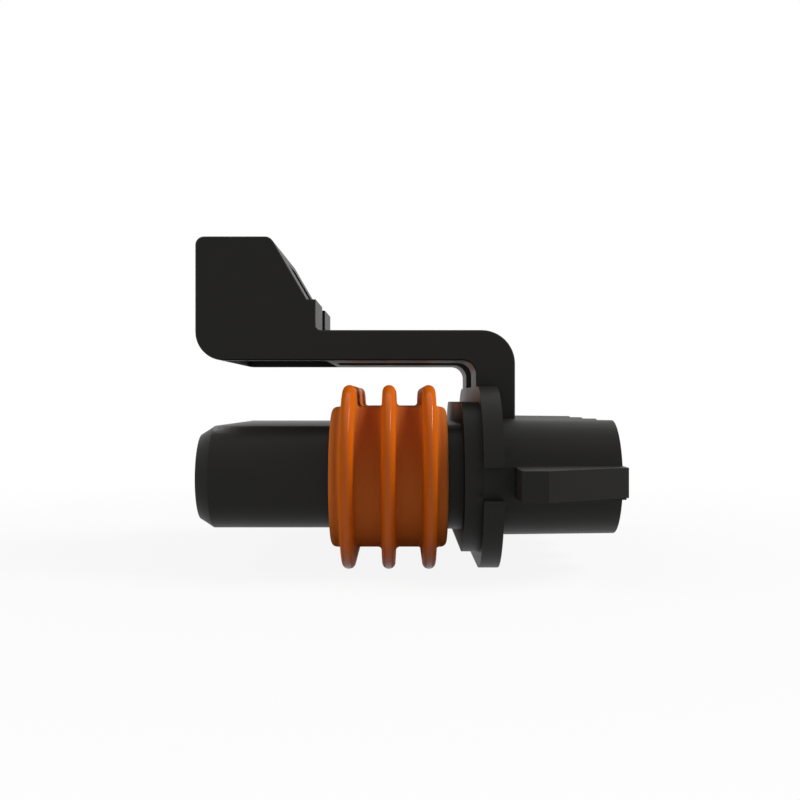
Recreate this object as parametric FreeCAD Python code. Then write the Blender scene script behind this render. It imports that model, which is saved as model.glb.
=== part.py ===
import FreeCAD, Part
import math
import os

from FreeCAD import Vector

# A four-way in-line sealed connector plug. X runs from the mating face back to the wires,
# Y runs across the row of circuits and Z is up. The origin is the centre of the barrel's
# front face, so the barrel's axis plane is Z = 0. Sizes are in millimetres.

# Row of circuits
WAYS = 4
PITCH = 7.6

# Mating barrel, an oval with round ends, a chamfer that leads it in and a seat for the seal
BARREL_LENGTH = 20.83
BARREL_RADIUS = 4.09
BARREL_CHAMFER_LENGTH = 1.07
BARREL_CHAMFER_DEPTH = 0.68
SEAL_SEAT_RADIUS = 4.19
SEAL_SEAT_COVER = 0.6

# Seal shoulder and flange behind the barrel
SHOULDER_THICKNESS = 1.34
SHOULDER_RADIUS = 6.0
FLANGE_THICKNESS = 1.54
FLANGE_RADIUS = 7.27

# Round wire towers behind the flange
TOWER_LENGTH = 9.29
TOWER_ROOT_RADIUS = 4.65
TOWER_REAR_RADIUS = 4.54

# Side rails and the locking ramps on them, one on each end of the oval
RAIL_REACH = 17.3
RAIL_TOP = 1.11
RAIL_BOTTOM = -1.37
RAMP_REACH = 22.2
RAMP_REAR_REACH = 18.2
RAMP_BOTTOM = -1.15
RAMP_FLANGE_GAP = 0.88
RAMP_CREST_LENGTH = 1.92

# Latch: legs on the flange, an arm over the barrel and a hollow head at its front
LATCH_WIDTH = 19.6
LATCH_SIDE_CHAMFER = 0.1
ARM_UNDERSIDE = 9.41
ARM_THICKNESS = 2.5
LEG_THICKNESS = 3.21
LEG_OUTER_BEND = 2.75
LEG_INNER_BEND = 1.15
HEAD_OVERHANG = 0.89
HEAD_HEIGHT = 10.19
HEAD_TOP_LENGTH = 6.15
HEAD_SLOPE_RUN = 3.0
HEAD_LEDGE_HEIGHT = 5.03
HEAD_LEDGE_LENGTH = 0.73
HEAD_NOSE_ROUND = 2.35
HEAD_TOP_FRONT_ROUND = 0.7
HEAD_TOP_REAR_ROUND = 0.75
HEAD_ROOT_FILLET = 0.45

# Hollows in the latch
WINDOW_WIDTH = 7.2
WINDOW_CORNER = 0.5
RECESS_WEB = 0.47
RECESS_LENGTH = 8.7
RECESS_DEPTH = 1.2
HEAD_FRONT_WALL = 2.0
HEAD_SIDE_WALL = 1.2
HEAD_CORE_WALL = 2.0
HEAD_CORE_RIB = 7.2
DISH_WIDTH = 6.6
DISH_DEPTH = 1.0
DISH_TOP_MARGIN = 1.48
CATCH_SLOT_WIDTH = 3.6
CATCH_SLOT_DEPTH = 1.6

# Blade entries and terminal cavities
BLADE_WIDTH = 2.8
BLADE_THICKNESS = 0.8
BLADE_ENTRY_CLEARANCE = 0.2
BLADE_ENTRY_FUNNEL = 0.5
FRONT_WALL = 1.6
CAVITY_CLEARANCE = 0.1
CAVITY_REAR_WIDTH = 4.6
CAVITY_REAR_HEIGHT = 4.4

# Terminals, stamped and folded from strip
STRIP_THICKNESS = 0.35
RECEPTACLE_WIDTH = 4.0
RECEPTACLE_HEIGHT = 3.2
RECEPTACLE_LENGTH = 7.6
RECEPTACLE_SETBACK = 0.4
RECEPTACLE_SEAM = 0.14
TONGUE_WIDTH = 2.6
TONGUE_THICKNESS = 0.25
TONGUE_LENGTH = 6.4
TONGUE_CREST_REACH = 3.4
TONGUE_BEND = 0.5
TONGUE_SQUEEZE = 0.06
LANCE_WIDTH = 1.7
LANCE_LENGTH = 2.8
LANCE_RISE = 0.55
LANCE_END_MARGIN = 0.6
LANCE_SHOULDER_GAP = 0.15
CHANNEL_WIDTH = 1.7
CORE_WING_LENGTH = 3.0
CORE_WING_RADIUS = 1.1
CORE_WING_TOP = 1.75
SEAL_WING_LENGTH = 2.6
SEAL_WING_TOP = 1.9
SEAL_WING_SETBACK = 1.0
WING_GAP = 1.8

# Perimeter seal round the barrel
SEAL_LENGTH = 9.17
SEAL_SHOULDER_GAP = 1.20
SEAL_BODY_RADIUS = 5.62
SEAL_END_ROUND = 0.4
SEAL_RIBS = 3
SEAL_RIB_PITCH = 3.18
SEAL_RIB_RADIUS = 7.37
SEAL_RIB_WIDTH = 1.1

# Cable seals in the towers
CABLE_BORE_RADIUS = 3.4
CABLE_BORE_DEPTH = 8.2
CABLE_SEAL_RECESS = 1.5
CABLE_SEAL_LENGTH = 6.4
CABLE_SEAL_RIBS = 2
CABLE_SEAL_RIB_WIDTH = 2.1
CABLE_SEAL_GROOVE_DEPTH = 0.55
CABLE_SEAL_NOSE_RADIUS = 1.7
WIRE_HOLE_RADIUS = 0.95
SEAT_CLEARANCE = 0.02
WING_SEAT_CLEARANCE = 0.05

# Stations along X that the pieces share
SHOULDER_X = BARREL_LENGTH
FLANGE_X = SHOULDER_X + SHOULDER_THICKNESS
TOWER_X = FLANGE_X + FLANGE_THICKNESS
REAR_X = TOWER_X + TOWER_LENGTH
CABLE_BORE_X = REAR_X - CABLE_BORE_DEPTH
ARM_TOP = ARM_UNDERSIDE + ARM_THICKNESS
HEAD_TOP = ARM_UNDERSIDE + HEAD_HEIGHT
HEAD_LEDGE_Z = ARM_UNDERSIDE + HEAD_LEDGE_HEIGHT
HEAD_FRONT_X = -HEAD_OVERHANG
HEAD_SLOPE_X = HEAD_FRONT_X + HEAD_TOP_LENGTH
HEAD_LEDGE_X = HEAD_SLOPE_X + HEAD_SLOPE_RUN
HEAD_REAR_X = HEAD_LEDGE_X + HEAD_LEDGE_LENGTH
RECESS_X = HEAD_FRONT_X + HEAD_FRONT_WALL
WINDOW_X = RECESS_X + RECESS_LENGTH + RECESS_WEB
LEG_REAR_X = FLANGE_X + LEG_THICKNESS
SEAL_WING_REAR_X = CABLE_BORE_X - SEAL_WING_SETBACK
SEAL_WING_X = SEAL_WING_REAR_X - SEAL_WING_LENGTH
RECEPTACLE_X = FRONT_WALL + RECEPTACLE_SETBACK
RECEPTACLE_REAR_X = RECEPTACLE_X + RECEPTACLE_LENGTH
LANCE_TIP_X = RECEPTACLE_REAR_X - LANCE_END_MARGIN
SEAL_REAR_X = SHOULDER_X - SEAL_SHOULDER_GAP
SEAL_FRONT_X = SEAL_REAR_X - SEAL_LENGTH
SEAL_SEAT_X = SEAL_FRONT_X + SEAL_SEAT_COVER

HALF_SPAN = (WAYS - 1) * PITCH / 2.0
CIRCUIT_YS = [index * PITCH - HALF_SPAN for index in range(WAYS)]
OVERCUT = 1.0
ROUND_SAG = 0.12


def corner_points(before, corner, after, radius, flats):
    """Points of a rounded corner, evenly turned: the ends of its arc and those between.

    A count of 0 takes as few flats as stay within ROUND_SAG of the arc.
    """
    half_angle = before.getAngle(after) / 2.0
    reach = min(radius / math.tan(half_angle), 0.49 * before.Length, 0.49 * after.Length)
    fitted = reach * math.tan(half_angle)
    before.normalize()
    after.normalize()
    bisector = before + after
    bisector.normalize()
    centre = corner + bisector * (fitted / math.sin(half_angle))
    start = corner + before * reach - centre
    normal = start.cross(corner + after * reach - centre)
    turn = math.pi - 2 * half_angle
    if flats == 0:
        flats = math.ceil(turn / (2 * math.acos(1 - min(ROUND_SAG / fitted, 1))))
    points = []
    for step in range(flats + 1):
        angle = math.degrees(turn) * step / flats
        points.append(centre + FreeCAD.Rotation(normal, angle).multVec(start))
    return points


def rounded_wire(corners, faceted=False):
    """Close an outline in the XZ plane: each corner is (x, z, radius), radius 0 is sharp.

    A rounded corner is an arc, or a few short flats on a faceted outline.
    """
    points = [Vector(x, 0, z) for x, z, _ in corners]
    count = len(points)
    stretches = []
    for index, (_, _, radius) in enumerate(corners):
        corner = points[index]
        before = points[index - 1] - corner
        after = points[(index + 1) % count] - corner
        if radius > 0:
            stretches.append(corner_points(before, corner, after, radius, 0 if faceted else 2))
        else:
            stretches.append([corner])
    edges = []
    for index, stretch in enumerate(stretches):
        if len(stretch) > 1 and not faceted:
            edges.append(Part.Arc(*stretch).toShape())
        else:
            for start, end in zip(stretch, stretch[1:]):
                edges.append(Part.LineSegment(start, end).toShape())
        following = stretches[(index + 1) % count][0]
        edges.append(Part.LineSegment(stretch[-1], following).toShape())
    return Part.Wire(edges)


def across(corners, y_from, y_to):
    """Extrude an XZ outline across the connector, from one Y to another."""
    face = Part.Face(rounded_wire(corners))
    face.translate(Vector(0, y_from, 0))
    return face.extrude(Vector(0, y_to - y_from, 0))


def block(x_from, x_to, y_from, y_to, z_from, z_to):
    """Make a rectangular block between two corners."""
    corner = Vector(x_from, y_from, z_from)
    return Part.makeBox(x_to - x_from, y_to - y_from, z_to - z_from, corner)


def turned(corners, y_axis):
    """Revolve an (x, radius) outline about a circuit's axis."""
    face = Part.Face(rounded_wire(corners, faceted=True))
    face.translate(Vector(0, y_axis, 0))
    return face.revolve(Vector(0, y_axis, 0), Vector(1, 0, 0), 360)


def oval(corners):
    """Carry an (x, radius) outline round the oval: two flats and two half turns."""
    face = Part.Face(rounded_wire(corners, faceted=True))
    upper = face.copy()
    upper.translate(Vector(0, -HALF_SPAN, 0))
    upper_flat = upper.extrude(Vector(0, 2 * HALF_SPAN, 0))
    lower_flat = upper_flat.mirror(Vector(0, 0, 0), Vector(0, 0, 1))
    end = face.copy()
    end.translate(Vector(0, HALF_SPAN, 0))
    far_end = end.revolve(Vector(0, HALF_SPAN, 0), Vector(-1, 0, 0), 180)
    near_end = far_end.mirror(Vector(0, 0, 0), Vector(0, 1, 0))
    return upper_flat.fuse([lower_flat, far_end, near_end]).removeSplitter()


def as_solid(shape):
    """Return the single clean solid of a finished piece."""
    cleaned = shape.removeSplitter()
    if len(cleaned.Solids) != 1:
        raise ValueError("a piece came out as %d solids" % len(cleaned.Solids))
    return cleaned.Solids[0]


# Housing

def barrel_and_flange():
    """The barrel with its lead-in chamfer and seal seat, the seal shoulder and the flange."""
    return oval([
        (0, 0, 0),
        (0, BARREL_RADIUS - BARREL_CHAMFER_DEPTH, 0),
        (BARREL_CHAMFER_LENGTH, BARREL_RADIUS, 0),
        (SEAL_SEAT_X, BARREL_RADIUS, 0),
        (SEAL_SEAT_X, SEAL_SEAT_RADIUS, 0),
        (SHOULDER_X, SEAL_SEAT_RADIUS, 0),
        (SHOULDER_X, SHOULDER_RADIUS, 0),
        (FLANGE_X, SHOULDER_RADIUS, 0),
        (FLANGE_X, FLANGE_RADIUS, 0),
        (TOWER_X, FLANGE_RADIUS, 0),
        (TOWER_X, 0, 0),
    ])


def tower(y_axis):
    """One drafted wire tower, started inside the flange."""
    draft = (TOWER_ROOT_RADIUS - TOWER_REAR_RADIUS) / TOWER_LENGTH
    start_radius = TOWER_ROOT_RADIUS + draft * FLANGE_THICKNESS
    return Part.makeCone(start_radius, TOWER_REAR_RADIUS, REAR_X - FLANGE_X,
                         Vector(FLANGE_X, y_axis, 0), Vector(1, 0, 0))


def side_rail():
    """The far rail with its locking ramp, sloping down to the rear."""
    ramp_x = TOWER_X + RAMP_FLANGE_GAP
    rail = block(FLANGE_X, REAR_X, HALF_SPAN, RAIL_REACH, RAIL_BOTTOM, RAIL_TOP)
    plan = Part.makePolygon([
        Vector(ramp_x, HALF_SPAN, RAMP_BOTTOM),
        Vector(REAR_X, HALF_SPAN, RAMP_BOTTOM),
        Vector(REAR_X, RAMP_REAR_REACH, RAMP_BOTTOM),
        Vector(ramp_x + RAMP_CREST_LENGTH, RAMP_REACH, RAMP_BOTTOM),
        Vector(ramp_x, RAMP_REACH, RAMP_BOTTOM),
        Vector(ramp_x, HALF_SPAN, RAMP_BOTTOM),
    ])
    ramp = Part.Face(plan).extrude(Vector(0, 0, RAIL_TOP - RAMP_BOTTOM))
    return rail.fuse(ramp)


def flange_notch():
    """The notch through the flange's far end, which the rail then fills to its own reach."""
    return block(FLANGE_X, TOWER_X, HALF_SPAN, RAIL_REACH + FLANGE_RADIUS,
                 RAIL_BOTTOM, RAIL_TOP)


def latch_body():
    """The latch's side outline carried across its width, with its side edges eased."""
    half_width = LATCH_WIDTH / 2.0
    foot = TOWER_ROOT_RADIUS / 2.0
    body = across([
        (FLANGE_X, foot, 0),
        (FLANGE_X, ARM_UNDERSIDE, LEG_INNER_BEND),
        (HEAD_FRONT_X, ARM_UNDERSIDE, HEAD_NOSE_ROUND),
        (HEAD_FRONT_X, HEAD_TOP, HEAD_TOP_FRONT_ROUND),
        (HEAD_SLOPE_X, HEAD_TOP, HEAD_TOP_REAR_ROUND),
        (HEAD_LEDGE_X, HEAD_LEDGE_Z, 0),
        (HEAD_REAR_X, HEAD_LEDGE_Z, 0),
        (HEAD_REAR_X, ARM_TOP, HEAD_ROOT_FILLET),
        (LEG_REAR_X, ARM_TOP, LEG_OUTER_BEND),
        (LEG_REAR_X, foot, 0),
    ], -half_width, half_width)
    side_edges = []
    for edge in body.Edges:
        box = edge.BoundBox
        on_a_side = box.YLength < 1e-6 and abs(abs(box.YMin) - half_width) < 1e-6
        at_the_foot = box.ZMax < foot + 1e-6
        if on_a_side and not at_the_foot:
            side_edges.append(edge)
    return body.makeChamfer(LATCH_SIDE_CHAMFER, side_edges)


def latch_window():
    """The opening between the arm's two rails, which runs on down between the legs."""
    half_width = WINDOW_WIDTH / 2.0
    opening = block(WINDOW_X, LEG_REAR_X + OVERCUT, -half_width, half_width,
                    FLANGE_RADIUS, ARM_TOP + OVERCUT)
    front_edges = []
    for edge in opening.Edges:
        box = edge.BoundBox
        if box.ZLength > ARM_THICKNESS and abs(box.XMax - WINDOW_X) < 1e-6:
            front_edges.append(edge)
    return opening.makeFillet(WINDOW_CORNER, front_edges)


def slope_x(z, inset):
    """X of the head's sloping face at a height, moved in by a distance square to it."""
    run_per_drop = HEAD_SLOPE_RUN / (HEAD_TOP - HEAD_LEDGE_Z)
    return HEAD_SLOPE_X + (HEAD_TOP - z) * run_per_drop - inset * math.hypot(1.0, run_per_drop)


def slope_z(x, inset):
    """Height of the head's sloping face at an X, moved in by a distance square to it."""
    run_per_drop = HEAD_SLOPE_RUN / (HEAD_TOP - HEAD_LEDGE_Z)
    return HEAD_TOP - (x - HEAD_SLOPE_X + inset * math.hypot(1.0, run_per_drop)) / run_per_drop


def head_hollows():
    """The shallow recess under the head and the two deep cores that open into it."""
    half_width = LATCH_WIDTH / 2.0
    half_recess = half_width - HEAD_SIDE_WALL
    recess = block(RECESS_X, RECESS_X + RECESS_LENGTH, -half_recess, half_recess,
                   ARM_UNDERSIDE - OVERCUT, ARM_UNDERSIDE + RECESS_DEPTH)
    roof = HEAD_TOP - HEAD_CORE_WALL
    rear = HEAD_REAR_X - HEAD_CORE_WALL
    core = across([
        (RECESS_X, ARM_UNDERSIDE, 0),
        (RECESS_X, roof, 0),
        (slope_x(roof, HEAD_CORE_WALL), roof, 0),
        (rear, slope_z(rear, HEAD_CORE_WALL), 0),
        (rear, ARM_UNDERSIDE, 0),
    ], HEAD_CORE_RIB / 2.0, half_width - HEAD_CORE_WALL)
    return recess.fuse([core, core.mirror(Vector(0, 0, 0), Vector(0, 1, 0))])


def head_recesses():
    """The wide dish down the head's slope and the slot that carries on down its rear face."""
    top = HEAD_TOP - DISH_TOP_MARGIN
    dish = across([
        (slope_x(top, DISH_DEPTH), top, 0),
        (HEAD_REAR_X + OVERCUT, top, 0),
        (HEAD_REAR_X + OVERCUT, HEAD_LEDGE_Z, 0),
        (slope_x(HEAD_LEDGE_Z, DISH_DEPTH), HEAD_LEDGE_Z, 0),
    ], -DISH_WIDTH / 2.0, DISH_WIDTH / 2.0)
    slot = block(HEAD_REAR_X - CATCH_SLOT_DEPTH, HEAD_REAR_X + OVERCUT,
                 -CATCH_SLOT_WIDTH / 2.0, CATCH_SLOT_WIDTH / 2.0, ARM_TOP, HEAD_LEDGE_Z)
    return dish.fuse(slot)


def blade_entry(y_axis):
    """A blade's slot through the front wall, with a funnel at the face."""
    half_width = BLADE_WIDTH / 2.0 + BLADE_ENTRY_CLEARANCE
    half_height = BLADE_THICKNESS / 2.0 + BLADE_ENTRY_CLEARANCE
    slot = block(-OVERCUT, FRONT_WALL + OVERCUT, y_axis - half_width, y_axis + half_width,
                 -half_height, half_height)
    sections = []
    for x, spread in ((0, BLADE_ENTRY_FUNNEL), (BLADE_ENTRY_FUNNEL, 0)):
        wide = half_width + spread
        high = half_height + spread
        sections.append(Part.makePolygon([
            Vector(x, y_axis - wide, -high),
            Vector(x, y_axis + wide, -high),
            Vector(x, y_axis + wide, high),
            Vector(x, y_axis - wide, high),
            Vector(x, y_axis - wide, -high),
        ]))
    return slot.fuse(Part.makeLoft(sections, True, True))


def terminal_cavity(y_axis):
    """The stepped room for one terminal, with the shoulder that its lance hooks behind."""
    half_width = RECEPTACLE_WIDTH / 2.0 + CAVITY_CLEARANCE
    half_height = RECEPTACLE_HEIGHT / 2.0 + CAVITY_CLEARANCE
    front = block(FRONT_WALL, RECEPTACLE_REAR_X + OVERCUT, y_axis - half_width,
                  y_axis + half_width, -half_height, half_height)
    rear = block(RECEPTACLE_REAR_X + CAVITY_CLEARANCE, CABLE_BORE_X + OVERCUT,
                 y_axis - CAVITY_REAR_WIDTH / 2.0, y_axis + CAVITY_REAR_WIDTH / 2.0,
                 -CAVITY_REAR_HEIGHT / 2.0, CAVITY_REAR_HEIGHT / 2.0)
    half_pocket = LANCE_WIDTH / 2.0 + CAVITY_CLEARANCE
    pocket_top = half_height + LANCE_RISE + CAVITY_CLEARANCE
    pocket = block(LANCE_TIP_X - LANCE_LENGTH, LANCE_TIP_X + LANCE_SHOULDER_GAP,
                   y_axis - half_pocket, y_axis + half_pocket, 0, pocket_top)
    return front.fuse([rear, pocket])


def cable_bore(y_axis):
    """The round bore for a cable seal, open at the tower's rear end."""
    return Part.makeCylinder(CABLE_BORE_RADIUS, CABLE_BORE_DEPTH + OVERCUT,
                             Vector(CABLE_BORE_X, y_axis, 0), Vector(1, 0, 0))


def housing():
    """The whole moulding: barrel, flange, towers, rails and latch in one piece."""
    far_rail = side_rail()
    far_notch = flange_notch()
    mirror_plane = (Vector(0, 0, 0), Vector(0, 1, 0))
    latch = latch_body().cut([latch_window(), head_hollows(), head_recesses()])
    flange = barrel_and_flange().cut([far_notch, far_notch.mirror(*mirror_plane)])
    towers = [tower(y_axis) for y_axis in CIRCUIT_YS]
    moulding = flange.fuse(towers + [latch, far_rail, far_rail.mirror(*mirror_plane)])
    voids = []
    for y_axis in CIRCUIT_YS:
        voids.extend([blade_entry(y_axis), terminal_cavity(y_axis), cable_bore(y_axis)])
    return as_solid(moulding.cut(voids))


# Perimeter seal

def perimeter_seal():
    """The ribbed oval ring that seals the barrel in the mating shroud."""
    inner = SEAL_SEAT_RADIUS + SEAT_CLEARANCE
    half_rib = SEAL_RIB_WIDTH / 2.0
    first_rib = SEAL_FRONT_X + (SEAL_LENGTH - (SEAL_RIBS - 1) * SEAL_RIB_PITCH) / 2.0
    corners = [
        (SEAL_FRONT_X, inner, 0),
        (SEAL_FRONT_X, SEAL_BODY_RADIUS, SEAL_END_ROUND),
    ]
    for index in range(SEAL_RIBS):
        x_rib = first_rib + index * SEAL_RIB_PITCH
        corners.extend([
            (x_rib - half_rib, SEAL_BODY_RADIUS, 0),
            (x_rib - half_rib, SEAL_RIB_RADIUS, 0),
            (x_rib + half_rib, SEAL_RIB_RADIUS, 0),
            (x_rib + half_rib, SEAL_BODY_RADIUS, 0),
        ])
    corners.extend([
        (SEAL_REAR_X, SEAL_BODY_RADIUS, SEAL_END_ROUND),
        (SEAL_REAR_X, inner, 0),
    ])
    return as_solid(oval(corners))


# Cable seals

def cable_seal(y_axis):
    """A ribbed wire seal in its bore, with the nose that the terminal's wings hold."""
    rib_radius = CABLE_BORE_RADIUS - SEAT_CLEARANCE
    groove_radius = rib_radius - CABLE_SEAL_GROOVE_DEPTH
    rear = REAR_X - CABLE_SEAL_RECESS
    front = rear - CABLE_SEAL_LENGTH
    nose = SEAL_WING_X
    corners = [
        (nose, 0, 0),
        (nose, CABLE_SEAL_NOSE_RADIUS, 0),
        (front, CABLE_SEAL_NOSE_RADIUS, 0),
        (front, rib_radius, 0),
    ]
    rib_pitch = (CABLE_SEAL_LENGTH - CABLE_SEAL_RIB_WIDTH) / (CABLE_SEAL_RIBS - 1)
    for index in range(1, CABLE_SEAL_RIBS):
        rib_front = front + index * rib_pitch
        groove_front = rib_front - rib_pitch + CABLE_SEAL_RIB_WIDTH
        corners.extend([
            (groove_front, rib_radius, 0),
            (groove_front, groove_radius, 0),
            (rib_front, groove_radius, 0),
            (rib_front, rib_radius, 0),
        ])
    corners.extend([
        (rear, rib_radius, 0),
        (rear, 0, 0),
    ])
    body = turned(corners, y_axis)
    wire_hole = Part.makeCylinder(WIRE_HOLE_RADIUS, rear - nose + 2 * OVERCUT,
                                  Vector(nose - OVERCUT, y_axis, 0), Vector(1, 0, 0))
    return as_solid(body.cut(wire_hole))


# Terminals

def receptacle(y_axis):
    """The folded box that takes the blade, open at both ends, with its seam underneath."""
    half_width = RECEPTACLE_WIDTH / 2.0
    half_height = RECEPTACLE_HEIGHT / 2.0
    outside = block(RECEPTACLE_X, RECEPTACLE_REAR_X, y_axis - half_width,
                    y_axis + half_width, -half_height, half_height)
    inside = block(RECEPTACLE_X - OVERCUT, RECEPTACLE_REAR_X + OVERCUT,
                   y_axis - half_width + STRIP_THICKNESS, y_axis + half_width - STRIP_THICKNESS,
                   -half_height + STRIP_THICKNESS, half_height - STRIP_THICKNESS)
    seam_end = RECEPTACLE_REAR_X - LANCE_END_MARGIN
    seam = block(RECEPTACLE_X - OVERCUT, seam_end, y_axis - RECEPTACLE_SEAM / 2.0,
                 y_axis + RECEPTACLE_SEAM / 2.0, -half_height - OVERCUT, 0)
    lance_slot = block(LANCE_TIP_X - LANCE_LENGTH, LANCE_TIP_X, y_axis - LANCE_WIDTH / 2.0,
                       y_axis + LANCE_WIDTH / 2.0, 0, half_height + OVERCUT)
    return outside.cut([inside, seam, lance_slot])


def lance(y_axis):
    """The springy lance cut from the box's roof, its free end up and to the rear."""
    roof = RECEPTACLE_HEIGHT / 2.0
    root_x = LANCE_TIP_X - LANCE_LENGTH
    tip = roof + LANCE_RISE
    half_width = LANCE_WIDTH / 2.0 - CAVITY_CLEARANCE
    return across([
        (root_x - STRIP_THICKNESS, roof, 0),
        (root_x + STRIP_THICKNESS, roof, 0),
        (LANCE_TIP_X, tip, 0),
        (LANCE_TIP_X, tip - STRIP_THICKNESS, 0),
        (root_x + STRIP_THICKNESS, roof - STRIP_THICKNESS, 0),
        (root_x - STRIP_THICKNESS, roof - STRIP_THICKNESS, 0),
    ], y_axis - half_width, y_axis + half_width)


def contact_tongue(y_axis):
    """The arched spring tongue above the blade, rooted at the box's front edge."""
    roof = RECEPTACLE_HEIGHT / 2.0 - STRIP_THICKNESS
    contact = BLADE_THICKNESS / 2.0 - TONGUE_SQUEEZE
    front = RECEPTACLE_X
    crest = RECEPTACLE_X + TONGUE_CREST_REACH
    rear = RECEPTACLE_X + TONGUE_LENGTH
    return across([
        (front, roof + TONGUE_THICKNESS / 2.0, 0),
        (front, roof - TONGUE_THICKNESS / 2.0, 0),
        (crest, contact, TONGUE_BEND),
        (rear, roof - TONGUE_THICKNESS, 0),
        (rear, roof, 0),
        (crest, contact + TONGUE_THICKNESS, TONGUE_BEND),
    ], y_axis - TONGUE_WIDTH / 2.0, y_axis + TONGUE_WIDTH / 2.0)


def crimp_wings(x_from, x_to, inner_radius, wing_top, y_axis):
    """A pair of open crimp wings: a half-round trough with straight sides."""
    outer_radius = inner_radius + STRIP_THICKNESS

    def trough(radius, x_start, length, top):
        """A U-shaped bar of one radius."""
        bed = Part.makeCylinder(radius, length, Vector(x_start, y_axis, 0), Vector(1, 0, 0))
        sides = block(x_start, x_start + length, y_axis - radius, y_axis + radius, 0, top)
        lower = block(x_start, x_start + length, y_axis - radius, y_axis + radius, -radius, 0)
        return bed.common(lower).fuse(sides)

    length = x_to - x_from
    outside = trough(outer_radius, x_from, length, wing_top)
    inside = trough(inner_radius, x_from - OVERCUT, length + 2 * OVERCUT, wing_top + OVERCUT)
    return outside.cut(inside)


def terminal(y_axis):
    """One stamped terminal: blade box, lance, spring tongues, channel and crimp wings."""
    seal_wing_radius = CABLE_SEAL_NOSE_RADIUS + WING_SEAT_CLEARANCE
    core_wing_end = SEAL_WING_X - WING_GAP
    core_wing_start = core_wing_end - CORE_WING_LENGTH
    box_floor = -RECEPTACLE_HEIGHT / 2.0
    core_floor = -CORE_WING_RADIUS - STRIP_THICKNESS
    seal_floor = -seal_wing_radius - STRIP_THICKNESS
    box_rear = RECEPTACLE_REAR_X - LANCE_END_MARGIN
    floor_line = [
        (box_rear, box_floor),
        (RECEPTACLE_REAR_X, box_floor),
        (core_wing_start, core_floor),
        (core_wing_end, core_floor),
        (SEAL_WING_X, seal_floor),
        (SEAL_WING_REAR_X, seal_floor),
    ]
    channel = across([(x, z, 0) for x, z in floor_line]
                     + [(x, z + STRIP_THICKNESS, 0) for x, z in reversed(floor_line)],
                     y_axis - CHANNEL_WIDTH / 2.0, y_axis + CHANNEL_WIDTH / 2.0)
    upper_tongue = contact_tongue(y_axis)
    lower_tongue = upper_tongue.mirror(Vector(0, 0, 0), Vector(0, 0, 1))
    core_wings = crimp_wings(core_wing_start, core_wing_end, CORE_WING_RADIUS,
                             CORE_WING_TOP, y_axis)
    seal_wings = crimp_wings(SEAL_WING_X, SEAL_WING_REAR_X, seal_wing_radius,
                             SEAL_WING_TOP, y_axis)
    return as_solid(receptacle(y_axis).fuse([
        lance(y_axis), upper_tongue, lower_tongue, channel, core_wings, seal_wings,
    ]))


def main():
    """Build every piece and write one file for each."""
    pieces = {"housing": housing(), "perimeter_seal": perimeter_seal()}
    for number, y_axis in enumerate(CIRCUIT_YS, start=1):
        pieces["terminal_%d" % number] = terminal(y_axis)
        pieces["cable_seal_%d" % number] = cable_seal(y_axis)
    os.makedirs("parts", exist_ok=True)
    for name, shape in pieces.items():
        if not shape.isValid():
            raise ValueError("%s is not a valid solid" % name)
        shape.exportStep("parts/%s.step" % name)
        print(name, "volume %.1f mm3" % shape.Volume)


main()
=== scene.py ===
import logging
import math
from dataclasses import dataclass
from enum import Enum
from typing import Any

import bmesh
import bpy
import numpy as np
from mathutils import Matrix, Vector


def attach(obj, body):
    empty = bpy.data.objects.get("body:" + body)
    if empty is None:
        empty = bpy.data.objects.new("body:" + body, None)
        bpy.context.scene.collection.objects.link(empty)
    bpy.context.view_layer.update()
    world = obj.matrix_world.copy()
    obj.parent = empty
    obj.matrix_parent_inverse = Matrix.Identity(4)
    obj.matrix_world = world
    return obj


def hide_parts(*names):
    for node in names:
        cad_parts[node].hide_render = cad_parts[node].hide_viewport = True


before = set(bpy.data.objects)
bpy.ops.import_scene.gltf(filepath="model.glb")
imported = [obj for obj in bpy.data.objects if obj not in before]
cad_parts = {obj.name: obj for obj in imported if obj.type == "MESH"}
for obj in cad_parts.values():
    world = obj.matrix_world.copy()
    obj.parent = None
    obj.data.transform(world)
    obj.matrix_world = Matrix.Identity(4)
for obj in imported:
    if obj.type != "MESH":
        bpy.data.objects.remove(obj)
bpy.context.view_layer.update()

LOG = logging.getLogger("connector_plug")
MM = 0.001
CIRCUIT_AXES = (-11.4 * MM, -3.8 * MM, 3.8 * MM, 11.4 * MM)


class Slot(Enum):
    """The names of the record's material slots for the scene's own pieces."""

    PLASTIC = "housing_plastic"
    SILICONE = "seal_silicone"


# Meshes worked out as whole arrays

def grid_mesh(name: str, points: np.ndarray, wraps: bool) -> bpy.types.Mesh:
    """Make a mesh of quads from a grid of points.

    Point (i, j) joins (i + 1, j), (i + 1, j + 1) and (i, j + 1). A grid that wraps joins its
    last row to its first and its last column to its first.

    Args:
        name: the mesh's name.
        points: positions in metres, shape (rows, columns, 3).
        wraps: whether the grid closes on itself both ways.

    Returns:
        The mesh, smooth shaded.
    """
    rows, columns = points.shape[:2]
    row = np.arange(rows if wraps else rows - 1)[:, None]
    column = np.arange(columns if wraps else columns - 1)[None, :]
    next_row = (row + 1) % rows
    next_column = (column + 1) % columns
    corners = np.stack([
        row * columns + column,
        next_row * columns + column,
        next_row * columns + next_column,
        row * columns + next_column,
    ], axis=-1).reshape(-1, 4)
    mesh = bpy.data.meshes.new(name)
    mesh.vertices.add(rows * columns)
    mesh.vertices.foreach_set("co", points.reshape(-1).astype(np.float32))
    mesh.loops.add(corners.size)
    mesh.loops.foreach_set("vertex_index", corners.reshape(-1).astype(np.int32))
    mesh.polygons.add(len(corners))
    mesh.polygons.foreach_set("loop_start", np.arange(0, corners.size, 4, dtype=np.int32))
    mesh.update(calc_edges=True)
    mesh.polygons.foreach_set("use_smooth", np.ones(len(corners), dtype=bool))
    return mesh


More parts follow.
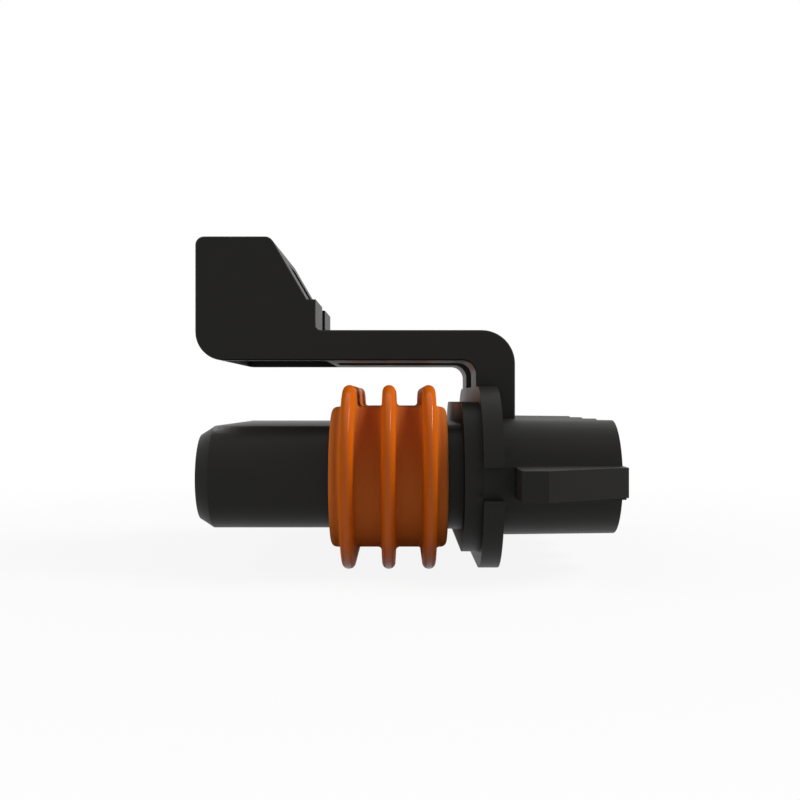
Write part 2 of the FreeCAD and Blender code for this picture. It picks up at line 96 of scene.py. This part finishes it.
def rounded_outline(corners: np.ndarray, radii: np.ndarray, steps: int) -> np.ndarray:
    """Round the corners of a closed outline with arcs.

    Each corner becomes an arc of its own radius, tangent to both sides. The arc's centre
    lies on the corner's bisector at radius / sin(half angle), and its points turn evenly
    from one tangent point to the other.

    Args:
        corners: shape (count, 2), in order round the outline.
        radii: shape (count,), each small enough for its sides.
        steps: how many points each arc gets.

    Returns:
        The rounded outline, shape (count * steps, 2).
    """
    before = np.roll(corners, 1, axis=0) - corners
    after = np.roll(corners, -1, axis=0) - corners
    before /= np.linalg.norm(before, axis=1, keepdims=True)
    after /= np.linalg.norm(after, axis=1, keepdims=True)
    half = np.arccos(np.clip((before * after).sum(axis=1), -1, 1)) / 2
    bisector = before + after
    bisector /= np.linalg.norm(bisector, axis=1, keepdims=True)
    centre = corners + bisector * (radii / np.sin(half))[:, None]
    reach = (radii / np.tan(half))[:, None]
    start = (corners + before * reach - centre)[:, None, :]
    end = (corners + after * reach - centre)[:, None, :]
    share = np.linspace(0, 1, steps)[None, :, None]
    turn = (math.pi - 2 * half)[:, None, None]
    spread = np.sin((1 - share) * turn) * start + np.sin(share * turn) * end
    return (centre[:, None, :] + spread / np.sin(turn)).reshape(-1, 2)


def rib_row(centres: np.ndarray, widths: tuple[float, float],
            radii: tuple[float, float]) -> np.ndarray:
    """Lay out the corners of equal ribs along X.

    Args:
        centres: the X of each rib's middle, shape (ribs,).
        widths: a rib's width at its root and at its tip.
        radii: the radius of the grooves and of the crests.

    Returns:
        Corners (x, radius), four to a rib, shape (ribs * 4, 2).
    """
    root, tip = widths[0] / 2, widths[1] / 2
    groove, crest = radii
    rib = np.array([[-root, groove], [-tip, crest], [tip, crest], [root, groove]])
    shift = np.stack([centres, np.zeros_like(centres)], axis=1)
    return (rib[None] + shift[:, None]).reshape(-1, 2)


def oval_path(half_span: float, straight_steps: int,
              turn_steps: int) -> tuple[np.ndarray, np.ndarray]:
    """Walk round the row's oval: two straights joined by half turns.

    Args:
        half_span: half the distance between the two half turns' centres.
        straight_steps: how many steps each straight gets.
        turn_steps: how many steps each half turn gets.

    Returns:
        The Y of the spine point for each step, shape (count,), and the outward normals
        (Y, Z), shape (count, 2).
    """
    along = np.linspace(-half_span, half_span, straight_steps, endpoint=False)
    angle = np.linspace(math.pi / 2, -math.pi / 2, turn_steps, endpoint=False)
    end = np.full(turn_steps, half_span)
    up = np.full(straight_steps, math.pi / 2)
    spine = np.concatenate([along, end, -along, -end])
    turning = np.concatenate([up, angle, -up, angle - math.pi])
    return spine, np.stack([np.cos(turning), np.sin(turning)], axis=1)


def swept_round_oval(name: str, profile: np.ndarray, half_span: float,
                     steps: tuple[int, int]) -> bpy.types.Mesh:
    """Carry a closed (x, radius) profile round the oval.

    The point at (x, r) and step s lies at (x, spine(s) + r * normal_y(s), r * normal_z(s)).

    Args:
        name: the mesh's name.
        profile: shape (count, 2), in metres.
        half_span: half the distance between the half turns' centres, in metres.
        steps: the straight's and the half turn's steps.

    Returns:
        The ring's mesh.
    """
    spine, normal = oval_path(half_span, *steps)
    x = np.broadcast_to(profile[:, None, 0], (len(profile), len(spine)))
    y = spine[None, :] + profile[:, None, 1] * normal[None, :, 0]
    z = profile[:, None, 1] * normal[None, :, 1]
    return grid_mesh(name, np.stack([x, y, z], axis=-1), wraps=True)


def turned_ring(name: str, profile: np.ndarray, y_axis: float, steps: int) -> bpy.types.Mesh:
    """Turn a closed (x, radius) profile about a circuit's axis.

    The point at (x, r) and angle a lies at (x, y_axis + r cos a, r sin a).

    Args:
        name: the mesh's name.
        profile: shape (count, 2), in metres, with every radius above zero.
        y_axis: the axis's Y, in metres.
        steps: how many steps the full turn gets.

    Returns:
        The ring's mesh.
    """
    angle = np.linspace(math.pi / 2, math.pi / 2 - 2 * math.pi, steps, endpoint=False)
    x = np.broadcast_to(profile[:, None, 0], (len(profile), steps))
    y = y_axis + profile[:, None, 1] * np.cos(angle)[None, :]
    z = profile[:, None, 1] * np.sin(angle)[None, :]
    return grid_mesh(name, np.stack([x, y, z], axis=-1), wraps=True)


def mark_crests(mesh: bpy.types.Mesh, profile: np.ndarray, low: float, high: float) -> None:
    """Note on each vertex of a ring how near it lies to a rib's crest.

    The share is 3 s^2 - 2 s^3, where s goes from 0 at the low radius to 1 at the high one.

    Args:
        mesh: a ring whose vertices run round it for each profile point in turn.
        profile: shape (count, 2), in metres.
        low: radius of the grooves.
        high: radius of the crests.
    """
    rise = np.clip((profile[:, 1] - low) / (high - low), 0, 1)
    share = np.repeat(rise * rise * (3 - 2 * rise), len(mesh.vertices) // len(profile))
    crest = mesh.attributes.new("crest", "FLOAT", "POINT")
    crest.data.foreach_set("value", share.astype(np.float32))


# Materials

def linear(hex_colour: str) -> tuple[float, float, float, float]:
    """Turn an sRGB hex colour into the linear colour that a shader takes.

    A level of at most 0.04045 is divided by 12.92, and a higher one becomes
    ((level + 0.055) / 1.055) to the power 2.4.

    Args:
        hex_colour: "#" and six hex digits.

    Returns:
        Red, green, blue and an alpha of 1.
    """
    levels = np.array([int(hex_colour[index:index + 2], 16) / 255 for index in (1, 3, 5)])
    lights = np.where(levels <= 0.04045, levels / 12.92, ((levels + 0.055) / 1.055) ** 2.4)
    return (*lights.tolist(), 1.0)


def add_node(tree: bpy.types.NodeTree, kind: str, links: dict[str | int, Any] | None = None,
             **settings: Any) -> bpy.types.Node:
    """Add a node with its settings and links.

    Args:
        tree: the node tree that it goes into.
        kind: the node's type.
        links: input name or index to the output socket that feeds it.
        settings: node attributes by name; any other name is an input's, with _ for a space.

    Returns:
        The node.
    """
    node = tree.nodes.new(kind)
    for key, value in settings.items():
        if hasattr(node, key):
            setattr(node, key, value)
        else:
            node.inputs[key.replace("_", " ")].default_value = value
    for key, output in (links or {}).items():
        tree.links.new(output, node.inputs[key])
    return node


def new_tree(name: str) -> tuple[bpy.types.Material, bpy.types.NodeTree]:
    """Make an empty node material.

    Args:
        name: the material's name.

    Returns:
        The material and its node tree.
    """
    material = bpy.data.materials.new(name)
    material.use_nodes = True
    material.node_tree.nodes.clear()
    return material, material.node_tree


def own_coordinates(tree: bpy.types.NodeTree) -> bpy.types.NodeSocket:
    """Give the Object coordinates, which are metres in the row's frame.

    Args:
        tree: the material's node tree.

    Returns:
        The socket that holds them.
    """
    return add_node(tree, "ShaderNodeTexCoord").outputs["Object"]


def ranged(tree: bpy.types.NodeTree, value: bpy.types.NodeSocket, low: float, high: float,
           start: float = 0.0, end: float = 1.0) -> bpy.types.NodeSocket:
    """Map a value from start..end to low..high, held at both ends.

    Args:
        tree: the node tree that it goes into.
        value: the value's socket.
        low: the result at start.
        high: the result at end.
        start: where the value begins to count.
        end: where it has its full effect.

    Returns:
        The result's socket.
    """
    return add_node(tree, "ShaderNodeMapRange", {"Value": value}, From_Min=start, From_Max=end,
                    To_Min=low, To_Max=high).outputs["Result"]


def blend(tree: bpy.types.NodeTree, share: bpy.types.NodeSocket, first: str,
          second: str | bpy.types.NodeSocket) -> bpy.types.NodeSocket:
    """Blend two colours by a share.

    Args:
        tree: the node tree that it goes into.
        share: 0 gives the first colour and 1 the second.
        first: a hex colour.
        second: a hex colour, or a colour's socket.

    Returns:
        The blended colour's socket.
    """
    # The mix node has sockets of each kind, so those for colours go by number
    first_input, second_input, result = 6, 7, 2
    mix = add_node(tree, "ShaderNodeMix", {"Factor": share}, data_type="RGBA")
    mix.inputs[first_input].default_value = linear(first)
    if isinstance(second, str):
        mix.inputs[second_input].default_value = linear(second)
    else:
        tree.links.new(second, mix.inputs[second_input])
    return mix.outputs[result]


@dataclass(frozen=True)
class Marks:
    """A pattern of noise, by the width of its features on the real part."""

    width_mm: float
    detail: float
    roughness: float

    def level(self, tree: bpy.types.NodeTree, where: bpy.types.NodeSocket) -> bpy.types.NodeSocket:
        """Add the pattern.

        Args:
            tree: the material's node tree.
            where: the coordinates' socket, in metres.

        Returns:
            The pattern's level, from 0 to 1.
        """
        return add_node(tree, "ShaderNodeTexNoise", {"Vector": where}, Detail=self.detail,
                        Scale=1.0 / (self.width_mm * MM), Roughness=self.roughness).outputs["Fac"]


@dataclass(frozen=True)
class Relief:
    """How strongly and how deeply a pattern shapes the surface."""

    strength: float
    depth_mm: float

    def normal(self, tree: bpy.types.NodeTree,
               height: bpy.types.NodeSocket) -> bpy.types.NodeSocket:
        """Add the relief.

        Args:
            tree: the material's node tree.
            height: the pattern's level.

        Returns:
            The normal's socket.
        """
        return add_node(tree, "ShaderNodeBump", {"Height": height}, Strength=self.strength,
                        Distance=self.depth_mm * MM).outputs["Normal"]


@dataclass(frozen=True)
class BlackPolyester:
    """Glass-filled PBT polyester, injection moulded: near black, satin, with a fine grain."""

    colour: str = "#151412"
    glass_bloom: str = "#1B1A18"
    ior: float = 1.53
    specular: float = 0.175
    roughness: float = 0.42
    roughness_spread: float = 0.08
    flow: Marks = Marks(width_mm=5.0, detail=3.0, roughness=0.5)
    grain: Marks = Marks(width_mm=0.12, detail=2.0, roughness=0.6)
    relief: Relief = Relief(strength=0.35, depth_mm=0.004)

    def build(self) -> bpy.types.Material:
        """Make the material: flow marks vary tone and gloss, and the tool's grain the surface.

        Returns:
            The material.
        """
        material, tree = new_tree("black_pbt_moulded")
        where = own_coordinates(tree)
        flow = self.flow.level(tree, where)
        shader = add_node(tree, "ShaderNodeBsdfPrincipled", {
            "Base Color": blend(tree, flow, self.colour, self.glass_bloom),
            "Roughness": ranged(tree, flow, self.roughness, self.roughness + self.roughness_spread),
            "Normal": self.relief.normal(tree, self.grain.level(tree, where)),
        }, IOR=self.ior, Specular_IOR_Level=self.specular)
        add_node(tree, "ShaderNodeOutputMaterial", {"Surface": shader.outputs["BSDF"]})
        return material


@dataclass(frozen=True)
class OrangeSilicone:
    """Self-lubricating liquid silicone rubber: bright oily crests and duller, browner grooves."""

    crest_colour: str = "#DB670A"
    groove_colour: str = "#D07230"
    cloud_colour: str = "#C95C0C"
    cloud_share: float = 0.25
    ior: float = 1.41
    specular: float = 0.05
    crest_roughness: float = 0.45
    groove_roughness: float = 0.75
    film_weight: float = 0.42
    film_start: float = 0.995
    film_roughness: float = 0.10
    film_ior: float = 1.4
    scatter_weight: float = 0.10
    scatter_mm: float = 0.6
    scatter_reach: tuple[float, float, float] = (1.0, 0.35, 0.1)
    clouds: Marks = Marks(width_mm=3.0, detail=2.0, roughness=0.5)
    skin: Marks = Marks(width_mm=0.6, detail=1.0, roughness=0.4)
    relief: Relief = Relief(strength=0.15, depth_mm=0.01)

    def build(self) -> bpy.types.Material:
        """Make the material: the crest attribute moves colour, gloss and oil film together.

        Returns:
            The material.
        """
        material, tree = new_tree("orange_silicone_rubber")
        where = own_coordinates(tree)
        crest = add_node(tree, "ShaderNodeAttribute", attribute_name="crest").outputs["Fac"]
        cloud = ranged(tree, self.clouds.level(tree, where), 0.0, self.cloud_share)
        bright = blend(tree, cloud, self.crest_colour, self.cloud_colour)
        skin = self.relief.normal(tree, self.skin.level(tree, where))
        shader = add_node(tree, "ShaderNodeBsdfPrincipled", {
            "Base Color": blend(tree, crest, self.groove_colour, bright),
            "Roughness": ranged(tree, crest, self.groove_roughness, self.crest_roughness),
            "Coat Weight": ranged(tree, crest, 0.0, self.film_weight, start=self.film_start),
            "Normal": skin,
            "Coat Normal": skin,
        }, IOR=self.ior, Specular_IOR_Level=self.specular, Coat_Roughness=self.film_roughness,
            Coat_IOR=self.film_ior, Subsurface_Weight=self.scatter_weight,
            Subsurface_Scale=self.scatter_mm * MM, Subsurface_Radius=self.scatter_reach)
        add_node(tree, "ShaderNodeOutputMaterial", {"Surface": shader.outputs["BSDF"]})
        return material


@dataclass(frozen=True)
class TinPlate:
    """Copper alloy strip, matt tin plated: soft pale grey metal with faint rolling marks."""

    colour: str = "#C9C5BD"
    smoothest: float = 0.26
    roughest: float = 0.42
    rolling: Marks = Marks(width_mm=0.08, detail=2.0, roughness=0.5)
    rolling_stretch: float = 14.0
    relief: Relief = Relief(strength=0.12, depth_mm=0.002)

    def build(self) -> bpy.types.Material:
        """Make the material: rolling marks run along the strip and vary its gloss.

        Returns:
            The material.
        """
        material, tree = new_tree("tin_plated_copper_alloy")
        along = add_node(tree, "ShaderNodeMapping", {"Vector": own_coordinates(tree)},
                         Scale=(1.0 / self.rolling_stretch, 1.0, 1.0))
        marks = self.rolling.level(tree, along.outputs["Vector"])
        shader = add_node(tree, "ShaderNodeBsdfPrincipled", {
            "Roughness": ranged(tree, marks, self.smoothest, self.roughest),
            "Normal": self.relief.normal(tree, marks),
        }, Base_Color=linear(self.colour), Metallic=1.0)
        add_node(tree, "ShaderNodeOutputMaterial", {"Surface": shader.outputs["BSDF"]})
        return material


# Pieces

def place(name: str, mesh: bpy.types.Mesh, material: bpy.types.Material, slot: Slot,
          *nodes: str) -> bpy.types.Object:
    """Put a finished mesh into the scene as a piece that stands for CAD nodes.

    Args:
        name: the piece's name.
        mesh: its mesh, in metres, in the row's frame.
        material: its material.
        slot: the record's material slot; not used.
        nodes: the CAD nodes that it replaces.

    Returns:
        The piece.
    """
    piece = bpy.data.objects.new(name, mesh)
    bpy.context.scene.collection.objects.link(piece)
    mesh.materials.clear()
    mesh.materials.append(material)
    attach(piece, "root")
    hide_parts(*nodes)
    LOG.info("%s: %d faces", name, len(mesh.polygons))
    return piece


@dataclass
class Housing:
    """The one-piece moulding: barrel, flange, towers, rails and latch."""

    weld: float = 0.0005 * MM
    flat_angle: float = math.radians(0.3)
    edge_round: float = 0.08 * MM
    edge_segments: int = 3
    sharp_angle: float = math.radians(24)
    flat_face_weight: int = 80

    def moulding(self) -> bpy.types.Mesh:
        """Weld a copy of the CAD solid's faces into one skin and merge its flat facets.

        Returns:
            The skin, smooth shaded.
        """
        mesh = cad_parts["housing"].data.copy()
        mesh.name = "housing_moulding"
        skin = bmesh.new()
        skin.from_mesh(mesh)
        bmesh.ops.remove_doubles(skin, verts=skin.verts, dist=self.weld)
        bmesh.ops.dissolve_limit(skin, angle_limit=self.flat_angle, verts=skin.verts,
                                 edges=skin.edges, use_dissolve_boundaries=False)
        skin.to_mesh(mesh)
        skin.free()
        if mesh.has_custom_normals:
            mesh.attributes.remove(mesh.attributes["custom_normal"])
        mesh.polygons.foreach_set("use_smooth", np.ones(len(mesh.polygons), dtype=bool))
        mesh.update()
        return mesh

    def build(self, material: bpy.types.Material) -> None:
        """Dress the moulding and round its edges as the tool leaves them.

        Args:
            material: the plastic.
        """
        piece = place("housing_moulding", self.moulding(), material, Slot.PLASTIC, "housing")
        easing = piece.modifiers.new("moulded_edges", "BEVEL")
        easing.width = self.edge_round
        easing.segments = self.edge_segments
        easing.limit_method = "ANGLE"
        easing.angle_limit = self.sharp_angle
        easing.miter_outer = "MITER_ARC"
        easing.use_clamp_overlap = True
        shading = piece.modifiers.new("flat_faces_stay_flat", "WEIGHTED_NORMAL")
        shading.keep_sharp = False
        shading.weight = self.flat_face_weight


@dataclass
class PerimeterSeal:
    """The ribbed ring round the barrel."""

    half_span: float = CIRCUIT_AXES[-1]
    front_x: float = 10.46 * MM
    rear_x: float = 19.63 * MM
    inner_radius: float = 4.21 * MM
    inner_round: float = 0.12 * MM
    body_radius: float = 5.62 * MM
    end_round: float = 0.45 * MM
    rib_count: int = 3
    rib_pitch: float = 3.18 * MM
    rib_radius: float = 7.37 * MM
    rib_root_width: float = 1.18 * MM
    rib_tip_width: float = 1.00 * MM
    rib_fillet: float = 0.30 * MM
    crest_fullness: float = 1.02
    steps: tuple[int, int] = (10, 72)
    arc_steps: int = 9

    def profile(self) -> np.ndarray:
        """Draw the ring's section: a flat body with rounded ends and ribs with round crests.

        The crest's radius is half the tip's width times its fullness, because the rib's sides
        taper and its arcs meet in the middle.

        Returns:
            The closed (x, radius) outline, shape (count, 2).
        """
        middle = (self.front_x + self.rear_x) / 2
        centres = middle + (np.arange(self.rib_count) - (self.rib_count - 1) / 2) * self.rib_pitch
        corners = np.concatenate([
            [[self.front_x, self.inner_radius], [self.front_x, self.body_radius]],
            rib_row(centres, (self.rib_root_width, self.rib_tip_width),
                    (self.body_radius, self.rib_radius)),
            [[self.rear_x, self.body_radius], [self.rear_x, self.inner_radius]],
        ])
        crest = self.rib_tip_width / 2 * self.crest_fullness
        radii = np.concatenate([
            [self.inner_round, self.end_round],
            np.tile([self.rib_fillet, crest, crest, self.rib_fillet], self.rib_count),
            [self.end_round, self.inner_round],
        ])
        return rounded_outline(corners, radii, self.arc_steps)

    def build(self, material: bpy.types.Material) -> bpy.types.Object:
        """Make and dress the ring.

        Args:
            material: the silicone.

        Returns:
            The ring.
        """
        profile = self.profile()
        mesh = swept_round_oval("perimeter_seal_ring", profile, self.half_span, self.steps)
        mark_crests(mesh, profile, self.body_radius, self.rib_radius)
        return place("perimeter_seal_ring", mesh, material, Slot.SILICONE, "perimeter_seal")


@dataclass
class CableSeal:
    """One wire seal in its tower, ribbed outside, with a lip at the wire's hole."""

    number: int
    y_axis: float
    nose_x: float = 21.2 * MM
    front_x: float = 25.1 * MM
    rear_x: float = 31.5 * MM
    nose_radius: float = 1.7 * MM
    nose_round: float = 0.3 * MM
    nose_fillet: float = 0.2 * MM
    rib_radius: float = 3.38 * MM
    groove_radius: float = 2.83 * MM
    rib_count: int = 3
    rib_root_share: float = 0.72
    rib_tip_share: float = 0.46
    rib_round: float = 0.2 * MM
    edge_round: float = 0.1 * MM
    hole_radius: float = 0.95 * MM
    hole_round: float = 0.08 * MM
    hole_lip: float = 0.22 * MM
    lip_depth: float = 0.6 * MM
    steps: int = 72
    arc_steps: int = 6

    def profile(self) -> np.ndarray:
        """Draw the seal's section: nose, round ribs outside and a widened end of the wire's hole.

        Returns:
            The closed (x, radius) outline, shape (count, 2).
        """
        pitch = (self.rear_x - self.front_x) / self.rib_count
        ribs = rib_row(self.front_x + pitch * (np.arange(self.rib_count) + 0.5),
                       (pitch * self.rib_root_share, pitch * self.rib_tip_share),
                       (self.groove_radius, self.rib_radius))
        corners = np.concatenate([
            [[self.nose_x, self.hole_radius], [self.nose_x, self.nose_radius],
             [self.front_x, self.nose_radius], [self.front_x, self.groove_radius]],
            ribs,
            [[self.rear_x, self.groove_radius], [self.rear_x, self.hole_radius + self.hole_lip],
             [self.rear_x - self.lip_depth, self.hole_radius]],
        ])
        radii = np.concatenate([
            [self.hole_round, self.nose_round, self.nose_fillet, self.edge_round],
            np.full(len(ribs), self.rib_round),
            [self.edge_round, self.hole_round, self.edge_round],
        ])
        return rounded_outline(corners, radii, self.arc_steps)

    def build(self, material: bpy.types.Material) -> bpy.types.Object:
        """Make and dress the seal.

        Args:
            material: the silicone.

        Returns:
            The seal.
        """
        name = "cable_seal_%d_ribbed" % self.number
        profile = self.profile()
        mesh = turned_ring(name, profile, self.y_axis, self.steps)
        mark_crests(mesh, profile, self.groove_radius, self.rib_radius)
        return place(name, mesh, material, Slot.SILICONE, "cable_seal_%d" % self.number)


@dataclass
class Terminals:
    """The stamped terminals, kept as the CAD has them and given their plating."""

    count: int = len(CIRCUIT_AXES)

    def build(self, material: bpy.types.Material) -> None:
        """Plate every terminal.

        Args:
            material: the plating.
        """
        for number in range(1, self.count + 1):
            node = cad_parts["terminal_%d" % number]
            node.data.materials.clear()
            node.data.materials.append(material)
            LOG.info("terminal_%d: plated", number)


# Studio

@dataclass(frozen=True)
class Lamp:
    """A rectangular lamp that faces the part, its long side level along Y.

    A soft one lights the surfaces and isn't mirrored in them. One for highlights alone is
    mirrored and lights nothing else, and one for the seals reaches no other piece.
    """

    name: str
    at_mm: tuple[float, float, float]
    wide_mm: float
    long_mm: float
    watts: float
    highlights_only: bool = False
    seals_only: bool = False

    def hang(self, aim: tuple[float, float, float], seals: bpy.types.Collection) -> None:
        """Hang the lamp, turned to its aim.

        Args:
            aim: the point that it faces, in metres.
            seals: the pieces that a lamp for the seals reaches.
        """
        data = bpy.data.lights.new(self.name, "AREA")
        data.shape = "RECTANGLE"
        data.size = self.wide_mm * MM
        data.size_y = self.long_mm * MM
        data.energy = self.watts
        lamp = bpy.data.objects.new(self.name, data)
        lamp.location = Vector(self.at_mm) * MM
        back = (lamp.location - Vector(aim)).normalized()
        side = Vector((0.0, 1.0, 0.0)).cross(back).normalized()
        lamp.rotation_euler = Matrix((side, back.cross(side), back)).transposed().to_euler()
        lamp.visible_glossy = self.highlights_only
        lamp.visible_diffuse = not self.highlights_only
        if self.seals_only:
            lamp.light_linking.receiver_collection = seals
        bpy.context.scene.collection.objects.link(lamp)


@dataclass
class Studio:
    """The pale floor, the lamps and the camera."""

    camera_at: tuple[float, float, float] = (15.93 * MM, -101.0 * MM, 6.16 * MM)
    lens: float = 50.0
    sensor_width: float = 36.0
    nearest_seen: float = 5 * MM
    aim: tuple[float, float, float] = (16 * MM, 0.0, 6 * MM)
    floor_z: float = -7.39 * MM
    floor_size: float = 4.0
    floor_colour: str = "#D4D4D4"
    background: str = "#FFFFFF"
    surround: float = 0.13
    shadow_share: float = 0.10
    shadow_reach: tuple[float, float] = (20 * MM, 90 * MM)
    lamps: tuple[Lamp, ...] = (
        Lamp("soft_left", (-240, 6, 220), 160, 160, 0.40),
        Lamp("soft_right", (272, 6, 220), 160, 160, 1.06),
        Lamp("card_over", (150, -32, 280), 18, 220, 0.42, highlights_only=True, seals_only=True),
        Lamp("card_behind", (-75, 230, 195), 60, 60, 0.19, highlights_only=True),
    )

    def camera(self) -> None:
        """Set the camera square to the side, as in the photograph.

        A quarter turn about X makes it look along +Y with +Z up.
        """
        data = bpy.data.cameras.new("camera")
        data.lens = self.lens
        data.sensor_width = self.sensor_width
        data.clip_start = self.nearest_seen
        camera = bpy.data.objects.new("camera", data)
        camera.location = self.camera_at
        camera.rotation_euler = (math.pi / 2, 0.0, 0.0)
        bpy.context.scene.collection.objects.link(camera)
        bpy.context.scene.camera = camera

    def lights(self, seals: list[bpy.types.Object]) -> None:
        """Hang two soft lamps, and two cards that only leave highlights.

        The card over the part reaches the oily seals alone, because the plastic shows no such
        streak in the photograph.

        Args:
            seals: the silicone pieces.
        """
        oiled = bpy.data.collections.new("oiled_seals")
        for seal in seals:
            oiled.objects.link(seal)
        for lamp in self.lamps:
            lamp.hang(self.aim, oiled)

    def seen(self, tree: bpy.types.NodeTree) -> bpy.types.NodeSocket:
        """Find where a surface is seen straight, through a clear piece or in a mirror.

        Args:
            tree: the node tree of the surface or the world.

        Returns:
            A socket that holds 1 there and 0 for all other light.
        """
        path = add_node(tree, "ShaderNodeLightPath")
        direct = add_node(tree, "ShaderNodeMath", {
            0: path.outputs["Is Camera Ray"], 1: path.outputs["Is Transmission Ray"],
        }, operation="MAXIMUM")
        return add_node(tree, "ShaderNodeMath", {
            0: direct.outputs["Value"], 1: path.outputs["Is Glossy Ray"],
        }, operation="MAXIMUM").outputs["Value"]

    def surroundings(self) -> None:
        """Give the world a plain white where it is seen and a soft level for all other light."""
        world = bpy.data.worlds.new("studio")
        world.use_nodes = True
        tree = world.node_tree
        tree.nodes.clear()
        glow = add_node(tree, "ShaderNodeBackground", {
            "Strength": ranged(tree, self.seen(tree), self.surround, 1.0),
        }, Color=linear(self.background))
        add_node(tree, "ShaderNodeOutputWorld", {"Surface": glow.outputs["Background"]})
        bpy.context.scene.world = world

    def floor_paint(self) -> bpy.types.Material:
        """Make the floor's material: white where it is seen, and matt grey for all other light.

        Near the part a share of the matt grey shows, which holds the part's shadow.

        Returns:
            The material.
        """
        material, tree = new_tree("pale_floor")
        away = add_node(tree, "ShaderNodeVectorMath", {0: own_coordinates(tree)},
                        operation="DISTANCE")
        away.inputs[1].default_value = (self.aim[0], self.aim[1], self.floor_z)
        near, far = self.shadow_reach
        white = ranged(tree, away.outputs["Value"], 1.0 - self.shadow_share, 1.0, near, far)
        share = add_node(tree, "ShaderNodeMath", {0: self.seen(tree), 1: white},
                         operation="MULTIPLY")
        matt = add_node(tree, "ShaderNodeBsdfDiffuse", Color=linear(self.floor_colour))
        glow = add_node(tree, "ShaderNodeEmission", Color=linear(self.background), Strength=1.0)
        mixed = add_node(tree, "ShaderNodeMixShader", {
            0: share.outputs["Value"], 1: matt.outputs["BSDF"], 2: glow.outputs["Emission"],
        })
        add_node(tree, "ShaderNodeOutputMaterial", {"Surface": mixed.outputs["Shader"]})
        return material

    def floor(self) -> None:
        """Lay the floor just under the ring seal's ribs."""
        ends = np.array([-self.floor_size / 2, self.floor_size / 2])
        x, y = np.meshgrid(ends, ends, indexing="ij")
        points = np.stack([x, y, np.full_like(x, self.floor_z)], axis=-1)
        mesh = grid_mesh("floor", points, wraps=False)
        mesh.materials.append(self.floor_paint())
        floor = bpy.data.objects.new("floor", mesh)
        bpy.context.scene.collection.objects.link(floor)

    def build(self, seals: list[bpy.types.Object]) -> None:
        """Set up the whole studio.

        Args:
            seals: the silicone pieces, which one card alone lights.
        """
        bpy.context.scene.view_settings.view_transform = "Standard"
        self.camera()
        self.lights(seals)
        self.surroundings()
        self.floor()
        LOG.info("studio: %d lamps", len(self.lamps))


def main() -> None:
    """Build every sub-assembly in order."""
    logging.basicConfig(level=logging.INFO, format="%(name)s: %(message)s")
    plastic = BlackPolyester().build()
    silicone = OrangeSilicone().build()
    plating = TinPlate().build()
    Housing().build(plastic)
    seals = [PerimeterSeal().build(silicone)]
    for number, y_axis in enumerate(CIRCUIT_AXES, start=1):
        seals.append(CableSeal(number, y_axis).build(silicone))
    Terminals().build(plating)
    Studio().build(seals)


if __name__ == "__main__":
    main()
